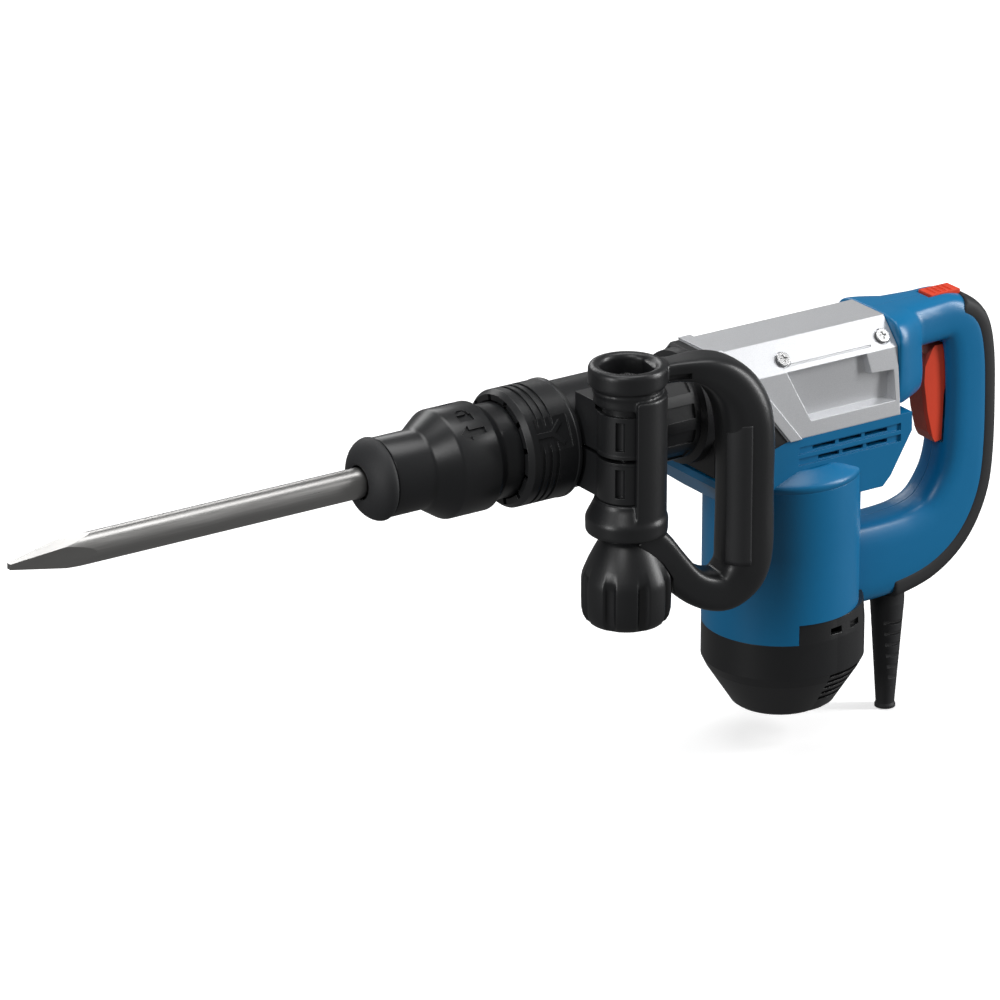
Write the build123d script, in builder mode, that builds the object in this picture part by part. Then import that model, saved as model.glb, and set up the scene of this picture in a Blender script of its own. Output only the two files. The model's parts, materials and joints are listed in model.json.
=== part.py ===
from build123d import *
import os
from math import acos, atan2, cos, degrees, pi, radians, sin, sqrt, tan

os.makedirs("parts", exist_ok=True)

# A demolition hammer with an SDS-max class holder.  The tool axis is X with the mouth of
# the dust cap at the origin: -X is the working end, +X the handle end and +Z is up.  The
# side handle stands on the -Y side.  All sizes are in millimetres.

# ---------------------------------------------------------------- fits
run_fit = 0.05          # radial clearance of a shaft that turns or slides in its bore
seat_fit = 0.05         # clearance of a piece that is seated and does not move
free_gap = 0.4          # space between pieces that pass each other without guiding
face_gap = 0.3          # axial space between faces that move past each other

# ---------------------------------------------------------------- chisel
shank_r = 8.95
chisel_r = 9.2
chisel_tip_x = -236.0
chisel_point_x = -183.0
chisel_tip_half = 1.7
shank_shoulder_x = 0.0
chisel_end_x = 105.0
chisel_travel = 12.0

# ---------------------------------------------------------------- tool holder
holder_front_x = 10.0
holder_bore_r = shank_r + run_fit + 0.05
holder_front_r = 15.0
holder_rear_r = 17.0
holder_step_x = 95.0
holder_rear_x = 146.0
bolt_chamber_x = 111.0
roller_r = 4.0
roller_length = 6.4
roller_x = 61.0
roller_axis_r = holder_front_r - roller_r - 0.1

cap_length = 13.0
cap_mouth_r = 10.5
cap_bulge_r = 25.2

sleeve_front_x = cap_length + face_gap
sleeve_nose_r = 24.1
sleeve_body_r = 33.2
sleeve_nose_end_x = 39.4
sleeve_body_x = 53.5
sleeve_chamfer_x = 80.0
sleeve_skirt_x = 85.5
sleeve_skirt_r = 29.0
sleeve_rear_x = 98.5
sleeve_wall = 2.4
sleeve_travel = 7.0
lock_ring_length = 6.6

ring_front_x = 97.5
ring_rear_x = 134.0
ring_r = 36.0
ring_rim_r = 36.4
ring_mouth_r = 29.8
ring_shoulder_x = 111.0
ring_travel = 4.0
ring_notches = 12
window_x = 116.5
window_length = 23.0
window_width = 21.0
window_depth = 1.5

index_front_x = 102.5
index_width = 4.0
index_r = 26.7

# ---------------------------------------------------------------- striking parts
bolt_r = 12.0
bolt_body_x = 124.5
bolt_rear_x = 150.0
tube_bore_r = 16.0
tube_r = 20.5
tube_front_x = 148.4
tube_rear_x = 240.0
striker_front_x = 151.0
striker_length = 27.0
striker_travel = 20.0
crank_throw = 13.0
piston_front_x = 200.0
piston_length = 26.0
wrist_pin_r = 3.5
wrist_pin_x = piston_front_x + 14.0

# ---------------------------------------------------------------- gears and shafts
gear_module = 1.25
pinion_teeth = 10
gear_teeth = 44
profile_shift = 0.35
motor_x = 307.0
crank_x = motor_x - gear_module * (pinion_teeth + gear_teeth) / 2
gear_low_z = -38.0
gear_high_z = -26.0
disc_low_z = -20.0
disc_high_z = -12.0
plate_low_z = -51.0
plate_high_z = -41.0

# ---------------------------------------------------------------- motor
motor_r = 48.5
motor_wall = 3.2
motor_top_z = -50.0
motor_low_z = -155.0
cap_bevel_z = -178.0
cap_bottom_z = -209.0
cap_bottom_r = 30.0
cap_step_x = 289.0
cap_step_z = -142.0
cap_rear_shift = 6.0
shaft_r = 5.0
core_r = 25.4
core_low_z = -130.0
core_high_z = -76.0
commutator_r = 12.0
fan_r = 40.0

# ---------------------------------------------------------------- neck and clamp
neck_front_x = 112.5
neck_rear_x = 232.0
neck_r = 31.0
neck_seat_r = 30.2
neck_spigot_r = 27.7
neck_bore_r = 22.0
tube_seat_r = 24.0
band_front_x = 136.0
band_rear_x = 170.0
band_r = 32.8
post_x = 153.0
post_y = -55.0
lug_r = 18.0
lug_top_z = 36.0
lug_part_high_z = 5.5
lug_part_low_z = 3.0
lug_bottom_z = -23.0
lug_rim = 0.3
lug_waist = 4.5
lug_waist_depth = 2.8
lug_slot_r = 2.9
lug_slot_turns = (222, 318)
clamp_bolt_r = 5.0

# ---------------------------------------------------------------- side handle
handle_angle = -10.0
loop_reach = 77.0
grip_r = 17.2
grip_top_z = 53.0
grip_bottom_z = -106.0
head_r = 24.8
head_top_z = 60.0
head_low_z = lug_top_z + free_gap
foot_high_z = lug_bottom_z - free_gap
foot_low_z = -46.0
loop_half = 11.0
knob_r = 27.0
knob_top_z = -52.0
knob_bottom_z = -103.0
knob_flutes = 8

# ---------------------------------------------------------------- housing
wall = 3.0
crown_z = 35.2
crown_half = 16.0
shoulder_z = 19.0
shoulder_half = 31.0
waist_z = -24.0
waist_half = 35.5
block_front_x = neck_rear_x
block_rear_x = 397.0
cover_front_x = 240.0
cover_low_x = 285.0
cover_rear_x = 370.0
housing_rear_x = 379.0
belly_front_z = -42.0
belly_half = 36.5
vent_row_z = -32.0
vent_row_step = 7.2
vent_bridge = 2.6

# ---------------------------------------------------------------- rear handle
handle_half = 18.0
handle_edge_r = 6.5
handle_top_z = 35.2
handle_rear_x = 463.0
gap_right_x = 419.0
gap_top_z = 6.0
gap_low_z = -100.0
arm_low_z = -155.0
guard_x = 390.0
guard_top_z = -150.0
guard_low_z = -234.0
cord_r = 4.2
trigger_half = 8.5
slider_front_x = 414.0
slider_length = 22.0
slider_half = 6.6
trigger_pivot_x = 426.0
trigger_pivot_z = -4.0


# ---------------------------------------------------------------- shared shapes
def turn_x(*outline, mode=Mode.ADD):
    """Turns a closed outline of (station, radius) points about the tool axis."""
    with BuildSketch(Plane.XZ) as profile:
        with BuildLine():
            Polyline(*outline, close=True)
        make_face()
    revolve(profile.sketch, axis=Axis.X, mode=mode)


def turn_z(x, y, *outline, mode=Mode.ADD):
    """Turns a closed outline of (radius, height) points about a vertical axis."""
    plane = Plane((x, y, 0), x_dir=(1, 0, 0), z_dir=(0, -1, 0))
    with BuildSketch(plane) as profile:
        with BuildLine():
            Polyline(*outline, close=True)
        make_face()
    revolve(profile.sketch, axis=Axis((x, y, 0), (0, 0, 1)), mode=mode)


def tube_x(front, rear, inner, outer, mode=Mode.ADD):
    """A plain tube, or a rod where inner is 0, along the tool axis."""
    turn_x((front, inner), (rear, inner), (rear, outer), (front, outer), mode=mode)


def tube_z(x, y, low, high, inner, outer, mode=Mode.ADD):
    """A plain tube, or a rod where inner is 0, along a vertical axis."""
    turn_z(x, y, (inner, low), (outer, low), (outer, high), (inner, high), mode=mode)


def slab_y(half, *outline, mode=Mode.ADD):
    """A slab of a side outline of (x, z) points, half to each side of the middle plane."""
    with BuildSketch(Plane.XZ) as side:
        with BuildLine():
            Polyline(*outline, close=True)
        make_face()
    extrude(side.sketch, amount=half, both=True, mode=mode)


def slab_z(low, high, *outline, mode=Mode.ADD):
    """A slab of a plan outline of (x, y) points between two heights."""
    with BuildSketch(Plane.XY.offset(low)) as plan:
        with BuildLine():
            Polyline(*outline, close=True)
        make_face()
    extrude(plan.sketch, amount=high - low, mode=mode)


def block(low, high, mode=Mode.ADD):
    """A plain block from its lowest to its highest corner."""
    size = [b - a for a, b in zip(low, high)]
    middle = [(a + b) / 2 for a, b in zip(low, high)]
    with Locations(tuple(middle)):
        Box(*size, mode=mode)


def involute_points(teeth, shift, backlash=0.05, steps=6):
    """The closed outline of an external spur gear with involute flanks."""
    pitch_r = gear_module * teeth / 2
    base_r = pitch_r * cos(radians(20))
    tip_r = pitch_r + gear_module * (0.95 + shift)
    root_r = pitch_r - gear_module * (1.25 - shift)
    half_tooth = pi / (2 * teeth) + 2 * shift * tan(radians(20)) / teeth
    half_tooth -= backlash / pitch_r
    flat = tan(radians(20)) - radians(20)

    def flank_angle(radius):
        pressure = acos(min(1.0, base_r / radius))
        return half_tooth + flat - (tan(pressure) - pressure)

    start_r = max(base_r, root_r)
    radii = [start_r + (tip_r - start_r) * i / (steps - 1) for i in range(steps)]
    points = []
    for tooth in range(teeth):
        centre = 2 * pi * tooth / teeth
        rise = [(r, centre - flank_angle(r)) for r in radii]
        fall = [(r, centre + flank_angle(r)) for r in reversed(radii)]
        flank = rise + fall
        if root_r < start_r - 0.01:
            flank = [(root_r, rise[0][1])] + flank + [(root_r, fall[-1][1])]
        points += [(r * cos(a), r * sin(a)) for r, a in flank]
    return points


def gear_z(x, y, low, high, teeth, shift, turn):
    """Adds a spur gear on a vertical axis, turned to its meshing place."""
    plane = Plane((x, y, low), x_dir=(cos(turn), sin(turn), 0), z_dir=(0, 0, 1))
    with BuildSketch(plane) as toothed:
        with BuildLine():
            Polyline(*involute_points(teeth, shift), close=True)
        make_face()
    extrude(toothed.sketch, amount=high - low)


def bearing_z(x, y, low, high, inner, outer):
    """Two races and a ring of balls as one closed ball bearing."""
    middle_r = (inner + outer) / 2
    ball_r = min((outer - inner) * 0.26, (high - low) * 0.35)
    groove = ball_r * 0.6
    tube_z(x, y, low, high, inner, outer)
    tube_z(x, y, high - 0.8, high, middle_r - groove, middle_r + groove, mode=Mode.SUBTRACT)
    tube_z(x, y, low, low + 0.8, middle_r - groove, middle_r + groove, mode=Mode.SUBTRACT)


def coil_spring(plane, coil_r, wire_r, length, turns):
    """An open coil spring that starts at the plane and runs along its normal."""
    with BuildLine() as path:
        Helix(length / turns, length, coil_r, center=plane.origin, direction=plane.z_dir)
    start = path.line @ 0
    along = path.line % 0
    with BuildSketch(Plane(start, z_dir=along)) as section:
        Circle(wire_r)
    sweep(section.sketch, path=path.line, is_frenet=True)


def section_points(offset):
    """The (y, z) outline of the housing above the waist, moved in by offset."""
    crown = crown_z - offset
    side = offset * 1.02
    return [
        (-crown_half + offset * 0.45, crown),
        (crown_half - offset * 0.45, crown),
        (shoulder_half - side, shoulder_z - offset * 0.4),
        (waist_half - side, waist_z),
        (belly_half - side, motor_top_z - 20.0),
        (-belly_half + side, motor_top_z - 20.0),
        (-waist_half + side, waist_z),
        (-shoulder_half + side, shoulder_z - offset * 0.4),
    ]


def section_block(front, rear, offset=0.0, mode=Mode.ADD):
    """The eight-sided housing form along the tool axis."""
    plane = Plane((front, 0, 0), x_dir=(0, 1, 0), z_dir=(1, 0, 0))
    with BuildSketch(plane) as section:
        with BuildLine():
            Polyline(*section_points(offset), close=True)
        make_face()
    extrude(section.sketch, amount=rear - front, mode=mode)


def slant_x(z):
    """Where the sloping joint between the gear housing and the cover stands at a height."""
    share = (crown_z - z) / (crown_z - waist_z)
    return cover_front_x + (cover_low_x - cover_front_x) * share


above_z = crown_z + 4.0


def waist_line_z(x):
    """The lower edge of the gear housing, which falls gently towards the front."""
    share = (cover_low_x - x) / (cover_low_x - block_front_x)
    return waist_z + (belly_front_z + 3.5 - waist_z) * share


# ---------------------------------------------------------------- chisel and holder
with BuildPart() as pointed_chisel:
    tube_x(chisel_tip_x, shank_shoulder_x, 0, chisel_r)
    point_length = chisel_point_x - chisel_tip_x
    with BuildSketch(Plane((chisel_point_x, 0, 0), z_dir=(-1, 0, 0))) as point_root:
        Rectangle(2 * chisel_r, 2 * chisel_r)
    with BuildSketch(Plane((chisel_tip_x, 0, 0), z_dir=(-1, 0, 0))) as point_end:
        Rectangle(2 * chisel_tip_half, 2 * chisel_tip_half)
    with BuildPart(mode=Mode.PRIVATE) as point_form:
        loft([point_root.sketch, point_end.sketch])
        block((chisel_point_x - 0.01, -20, -20), (shank_shoulder_x + 1, 20, 20))
    add(point_form.part, mode=Mode.INTERSECT)
    tube_x(shank_shoulder_x, chisel_end_x - 1.5, 0, shank_r)
    end = chisel_end_x
    turn_x((end - 1.5, 0), (end, 0), (end, shank_r - 1.5), (end - 1.5, shank_r))
    groove_front = roller_x - roller_length / 2 - 0.6
    groove_rear = roller_x + roller_length / 2 + chisel_travel + 0.6
    for side in (-1, 1):
        low, high = sorted((side * (roller_axis_r - roller_r - 0.3), side * 12))
        block(
            (groove_front, -roller_r - 0.3, low),
            (groove_rear, roller_r + 0.3, high),
            mode=Mode.SUBTRACT,
        )
    for side in (-1, 1):
        with Locations((chisel_end_x - 16, side * shank_r, 0)):
            Box(34, 5.0, 4.0, mode=Mode.SUBTRACT)

with BuildPart() as tool_holder:
    turn_x(
        (holder_front_x, holder_bore_r),
        (holder_front_x, holder_front_r - 1.5),
        (holder_front_x + 1.5, holder_front_r),
        (holder_step_x, holder_front_r),
        (holder_step_x + 2, holder_rear_r),
        (holder_rear_x, holder_rear_r),
        (holder_rear_x, bolt_r + run_fit),
        (bolt_chamber_x, bolt_r + run_fit),
        (bolt_chamber_x - 2.5, holder_bore_r),
    )
    for side in (-1, 1):
        low, high = sorted((side * 5, side * 20))
        reach = roller_length / 2 + 0.1
        block(
            (roller_x - reach, -roller_r - 0.1, low),
            (roller_x + reach, roller_r + 0.1, high),
            mode=Mode.SUBTRACT,
        )

with BuildPart() as locking_rollers:
    for side in (-1, 1):
        with Locations(Location((roller_x, 0, side * roller_axis_r), (0, 90, 0))):
            Cylinder(roller_r, roller_length)
    chamfer(locking_rollers.edges().filter_by(GeomType.CIRCLE), 0.6)

with BuildPart() as dust_cap:
    turn_x(
        (0, cap_mouth_r),
        (0, 12.8),
        (0.6, 14.2),
        (2.2, 17.2),
        (4.5, 20.2),
        (6.4, 22.8),
        (8.0, cap_bulge_r - 0.4),
        (9.4, cap_bulge_r),
        (11.0, cap_bulge_r - 0.2),
        (11.8, sleeve_nose_r),
        (cap_length, sleeve_nose_r - 0.4),
        (cap_length, holder_front_r + 3.0),
        (cap_length, holder_front_r + seat_fit),
        (holder_front_x - 0.2, holder_front_r + seat_fit),
        (holder_front_x - 0.2, cap_mouth_r + 2.5),
        (6.0, cap_mouth_r + 2.5),
        (3.0, cap_mouth_r),
    )
    turn_x((6.9, cap_bulge_r + 1), (7.4, cap_bulge_r - 2.4), (8.1, cap_bulge_r - 2.4),
           (8.6, cap_bulge_r + 1), mode=Mode.SUBTRACT)

with BuildPart() as locking_sleeve:
    cavity_x = sleeve_nose_end_x + 8
    lining_r = sleeve_skirt_r - sleeve_wall + 0.6
    turn_x(
        (sleeve_front_x, holder_front_r + free_gap),
        (sleeve_front_x, sleeve_nose_r - 1.8),
        (sleeve_front_x + 1.2, sleeve_nose_r - 0.6),
        (sleeve_nose_end_x, sleeve_nose_r),
        (sleeve_body_x - 1.5, sleeve_body_r - 1.4),
        (sleeve_body_x, sleeve_body_r - 0.8),
        (sleeve_chamfer_x, sleeve_body_r),
        (sleeve_skirt_x, sleeve_skirt_r),
        (sleeve_rear_x, sleeve_skirt_r),
        (sleeve_rear_x, lining_r),
        (cavity_x, lining_r),
        (cavity_x, holder_front_r + free_gap),
    )
    for turn in range(24):
        with Locations(Location((sleeve_front_x + 13.5, 0, 0), (turn * 15, 0, 0))):
            with Locations((0, 0, sleeve_nose_r + 0.35)):
                Box(16, 1.6, 1.6, mode=Mode.SUBTRACT)

with BuildPart() as lock_ring:
    lock_front = roller_x - lock_ring_length / 2
    tube_x(lock_front, lock_front + lock_ring_length, holder_front_r + 0.25, lining_r - seat_fit)

with BuildPart() as sleeve_spring:
    spring_x = lock_front + lock_ring_length + 0.9
    spring_room = index_front_x - spring_x - 0.9
    coil_spring(Plane((spring_x, 0, 0), z_dir=(1, 0, 0)), 21.0, 0.9, spring_room, 4.5)

with BuildPart() as index_disc:
    tube_x(index_front_x, index_front_x + index_width, holder_rear_r + seat_fit, index_r)
    for turn in range(ring_notches):
        angle = 2 * pi * turn / ring_notches
        with Locations((index_front_x, index_r * cos(angle), index_r * sin(angle))):
            Sphere(1.8, mode=Mode.SUBTRACT)

with BuildPart() as vario_ring:
    turn_x(
        (ring_front_x, ring_mouth_r),
        (ring_front_x, ring_r - 2.6),
        (ring_front_x + 3.2, ring_r),
        (ring_rear_x - 2.4, ring_r),
        (ring_rear_x - 1.8, ring_rim_r),
        (ring_rear_x, ring_rim_r),
        (ring_rear_x, neck_spigot_r + free_gap),
        (ring_shoulder_x, neck_spigot_r + free_gap),
        (ring_shoulder_x, ring_mouth_r),
    )
    for groove in range(3):
        groove_x = 106.0 + 5.0 * groove
        tube_x(groove_x, groove_x + 2.2, ring_r - 1.2, ring_r + 1, mode=Mode.SUBTRACT)
    for turn in range(ring_notches):
        with Locations(Location((0, 0, 0), (turn * 360 / ring_notches + 15, 0, 0))):
            with Locations((ring_front_x + 1.0, 0, ring_mouth_r + 1.2)):
                Box(4.0, 3.4, 4.6, mode=Mode.SUBTRACT)
    for turn in range(3):
        with Locations(Location((0, 0, 0), (63 - 120 * turn, 0, 0))):
            with Locations((window_x, 0, ring_r + 1)):
                Box(window_length, window_width, 2 * window_depth + 2, mode=Mode.SUBTRACT)
            with Locations((window_x - 6, 0, ring_r - window_depth)):
                Box(11, 3.2, 1.8)
            for branch in (-1, 1):
                with Locations(Location((window_x + 3, branch * 3.4, ring_r - window_depth),
                                        (0, 0, branch * 42))):
                    Box(10, 2.8, 1.8)

with BuildPart() as ring_spring:
    ring_spring_x = index_front_x + index_width + 0.8
    coil_spring(Plane((ring_spring_x, 0, 0), z_dir=(1, 0, 0)), 22.5, 0.6, 3.6, 1.5)

# ---------------------------------------------------------------- striking parts
with BuildPart() as impact_bolt:
    turn_x(
        (chisel_end_x + face_gap, 0),
        (chisel_end_x + face_gap, shank_r - 1.2),
        (chisel_end_x + face_gap + 1.2, shank_r),
        (bolt_body_x, shank_r),
        (bolt_body_x + 3, bolt_r),
        (bolt_body_x + 17, bolt_r),
        (bolt_body_x + 20, 8.4),
        (bolt_rear_x, 8.0),
        (bolt_rear_x, 0),
    )

with BuildPart() as stop_washer:
    tube_x(holder_rear_x + face_gap, tube_front_x - 0.1, 8.4 + free_gap, tube_seat_r - seat_fit)

with BuildPart() as holder_bearing:
    tube_x(neck_front_x + 1.5, neck_front_x + 17.5, holder_rear_r + run_fit, neck_bore_r)
    tube_x(neck_front_x + 4, neck_front_x + 15, holder_rear_r, holder_rear_r + 0.8,
           mode=Mode.SUBTRACT)

with BuildPart() as hammer_tube:
    tube_x(tube_front_x, tube_rear_x, tube_bore_r, tube_r)
    tube_x(tube_front_x, tube_front_x + 8, tube_bore_r, tube_seat_r - seat_fit)
    tube_x(neck_rear_x - 10, neck_rear_x - 0.5, tube_bore_r, tube_seat_r - seat_fit)
    for turn in range(4):
        with Locations(Location((179, 0, 0), (turn * 90, 0, 0))):
            Cylinder(1.5, 30, align=(Align.CENTER, Align.CENTER, Align.MIN), mode=Mode.SUBTRACT)

with BuildPart() as striker:
    tube_x(striker_front_x, striker_front_x + striker_length, 0, tube_bore_r - run_fit)
    ring_at = striker_front_x + striker_length - 8
    tube_x(ring_at, ring_at + 3, tube_bore_r - 2, tube_bore_r, mode=Mode.SUBTRACT)
    chamfer(striker.edges().filter_by(GeomType.CIRCLE).group_by(Axis.X)[0], 2.0)

with BuildPart() as striker_o_ring:
    tube_x(ring_at + 0.2, ring_at + 2.8, tube_bore_r - 2, tube_bore_r - run_fit)

with BuildPart() as piston:
    tube_x(piston_front_x, piston_front_x + piston_length, 0, tube_bore_r - run_fit)
    block((wrist_pin_x - 8, -9.6, -6), (piston_front_x + piston_length + 1, 9.6, 6),
          mode=Mode.SUBTRACT)
    tube_z(wrist_pin_x, 0, -20, 20, 0, wrist_pin_r, mode=Mode.SUBTRACT)
    tube_x(piston_front_x + 3, piston_front_x + 6, tube_bore_r - 2, tube_bore_r,
           mode=Mode.SUBTRACT)

with BuildPart() as piston_o_ring:
    tube_x(piston_front_x + 3.2, piston_front_x + 5.8, tube_bore_r - 2, tube_bore_r - run_fit)

with BuildPart() as wrist_pin:
    tube_z(wrist_pin_x, 0, 1.5 - tube_bore_r, tube_bore_r - 1.5, 0, wrist_pin_r)

rod_pin_x = crank_x - crank_throw
with BuildPart() as connecting_rod:
    tube_z(wrist_pin_x, 0, -5, 5, wrist_pin_r + run_fit, 7.5)
    tube_z(rod_pin_x, 0, -5, 5, 5.0 + seat_fit, 10)
    block((wrist_pin_x + 6.5, -4, -4), (rod_pin_x - 8.5, 4, 4))

with BuildPart() as crank_pin:
    tube_z(rod_pin_x, 0, disc_high_z + face_gap, 7, 0, 5.0)
    tube_z(rod_pin_x, 0, 5.2, 7, 5.0, 7.0)

# ---------------------------------------------------------------- gear train
with BuildPart() as crank_gear:
    gear_z(crank_x, 0, gear_low_z, gear_high_z, gear_teeth, -profile_shift, 0)
    tube_z(crank_x, 0, gear_low_z - 1, gear_high_z + 1, 0, 7.5, mode=Mode.SUBTRACT)
    for turn in range(6):
        angle = radians(60 * turn)
        tube_z(crank_x + 17 * cos(angle), 17 * sin(angle), gear_low_z - 1, gear_high_z + 1, 0, 4,
               mode=Mode.SUBTRACT)

with BuildPart() as crankshaft:
    tube_z(crank_x, 0, plate_low_z - 0.5, disc_low_z, 0, 7.5)
    tube_z(crank_x, 0, disc_low_z, disc_high_z, 0, 21)
    tube_z(crank_x, 0, gear_high_z, disc_low_z, 0, 12)

with BuildPart() as armature_shaft:
    tube_z(motor_x, 0, -196, gear_high_z + 1, 0, shaft_r)
    gear_z(motor_x, 0, gear_low_z - 1, gear_high_z + 1, pinion_teeth, profile_shift,
           pi + pi / pinion_teeth)

with BuildPart() as armature_core:
    tube_z(motor_x, 0, core_low_z, core_high_z, shaft_r, core_r)
    for turn in range(12):
        angle = radians(30 * turn)
        tube_z(motor_x + core_r * cos(angle), core_r * sin(angle), core_low_z - 1,
               core_high_z + 1, 0, 1.6, mode=Mode.SUBTRACT)

with BuildPart() as armature_windings:
    turn_z(motor_x, 0, (shaft_r, core_high_z), (22, core_high_z), (20, core_high_z + 8),
           (shaft_r, core_high_z + 9))
    turn_z(motor_x, 0, (shaft_r, core_low_z - 11), (19, core_low_z - 10), (22, core_low_z),
           (shaft_r, core_low_z))

with BuildPart() as commutator:
    tube_z(motor_x, 0, -163, -146, shaft_r, commutator_r)
    for turn in range(24):
        angle = radians(15 * turn)
        tube_z(motor_x + commutator_r * cos(angle), commutator_r * sin(angle), -164, -145, 0,
               0.35, mode=Mode.SUBTRACT)

with BuildPart() as cooling_fan:
    tube_z(motor_x, 0, -58, -56, shaft_r, fan_r)
    tube_z(motor_x, 0, -64, -56, shaft_r, 9)
    for turn in range(12):
        with Locations(Location((motor_x, 0, -60.5), (0, 0, turn * 30))):
            with Locations((27, 0, 0)):
                Box(24, 1.6, 6)

with BuildPart() as shaft_bearing_upper:
    bearing_z(motor_x, 0, plate_low_z + 1.5, plate_high_z, shaft_r + 0.02, 13)

with BuildPart() as shaft_bearing_lower:
    bearing_z(motor_x, 0, -194, -185, shaft_r + 0.02, 13)

with BuildPart() as crank_bearing:
    bearing_z(crank_x, 0, plate_low_z, plate_high_z, 7.52, 16)

with BuildPart() as bearing_plate:
    plate_front = crank_x - 26
    slab_z(plate_low_z, plate_high_z, (plate_front, -24), (crank_x, -30), (motor_x + 20, -30),
           (motor_x + 38, -16), (motor_x + 38, 16), (motor_x + 20, 30), (crank_x, 30),
           (plate_front, 24))
    tube_z(motor_x, 0, plate_low_z - 1, plate_high_z + 1, 0, 13, mode=Mode.SUBTRACT)
    tube_z(crank_x, 0, plate_low_z - 1, plate_high_z + 1, 0, 16, mode=Mode.SUBTRACT)

# ---------------------------------------------------------------- motor, fixed pieces
with BuildPart() as stator_core:
    tube_z(motor_x, 0, core_low_z, core_high_z, core_r + 1, motor_r - motor_wall - seat_fit)
    for side in (-1, 1):
        low, high = sorted((side * 13, side * 38))
        block((motor_x - 17, low, core_low_z - 1), (motor_x + 17, high, core_high_z + 1),
              mode=Mode.SUBTRACT)

with BuildPart() as field_coils:
    for side in (-1, 1):
        low, high = sorted((side * (core_r + 1.6), side * 37))
        block((motor_x - 16, low, core_low_z - 8), (motor_x + 16, high, core_high_z + 5))

with BuildPart() as carbon_brushes:
    for side in (-1, 1):
        low, high = sorted((side * (commutator_r + 0.3), side * 26))
        block((motor_x - 3, low, -158.5), (motor_x + 3, high, -151.5))

with BuildPart() as brush_holders:
    for side in (-1, 1):
        low, high = sorted((side * 14, side * 36))
        block((motor_x - 5, low, -160.5), (motor_x + 5, high, -149.5))
        block((motor_x - 3, low - 1, -158.5), (motor_x + 3, high + 1, -151.5),
              mode=Mode.SUBTRACT)

with BuildPart() as brush_plate:
    tube_z(motor_x, 0, -164, -161, commutator_r + 2, 40)

# ---------------------------------------------------------------- housings
with BuildPart() as neck_housing:
    turn_x(
        (neck_front_x, neck_bore_r),
        (neck_front_x, neck_spigot_r),
        (ring_rear_x + free_gap, neck_spigot_r),
        (ring_rear_x + free_gap, neck_seat_r + 1.5),
        (band_front_x - free_gap, neck_seat_r + 1.5),
        (band_front_x - free_gap, neck_seat_r),
        (band_rear_x + free_gap, neck_seat_r),
        (band_rear_x + free_gap, neck_r),
        (neck_rear_x - 8, neck_r),
        (neck_rear_x - 6, neck_r + 4),
        (neck_rear_x, neck_r + 4.5),
        (neck_rear_x, tube_seat_r),
        (holder_rear_x, tube_seat_r),
        (holder_rear_x, neck_bore_r),
    )
    for turn in range(12):
        with Locations(Location((0, 0, 0), (turn * 30 + 15, 0, 0))):
            with Locations(((band_rear_x + neck_rear_x) / 2 - 2, 0, neck_r + 0.4)):
                Box(42, 9, 3, mode=Mode.SUBTRACT)

with BuildPart() as gear_housing:
    section_block(block_front_x, cover_low_x + 6)
    slab_y(60, (block_front_x - 1, above_z), (slant_x(above_z), above_z),
           (slant_x(waist_z), waist_z),
           (block_front_x - 1, waist_line_z(block_front_x - 1)), mode=Mode.INTERSECT)
    front_edges = gear_housing.edges().group_by(Axis.X)[0]
    chamfer(front_edges, 2.0)
    section_block(block_front_x + wall + 1, cover_low_x + 8, offset=wall, mode=Mode.SUBTRACT)
    tube_x(block_front_x - 1, block_front_x + 10, 0, tube_seat_r, mode=Mode.SUBTRACT)

chamfer_drop = crown_z - shoulder_z
chamfer_run = shoulder_half - crown_half
screw_tilt = degrees(atan2(chamfer_drop, chamfer_run))
screw_half = 24.5
screw_z = crown_z - (screw_half - crown_half) * chamfer_drop / chamfer_run - 1.6
screw_seats = [
    Location((x, side * screw_half, screw_z), (-side * screw_tilt, 0, 0))
    for x in (287.5, 362.0)
    for side in (-1, 1)
]

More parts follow.
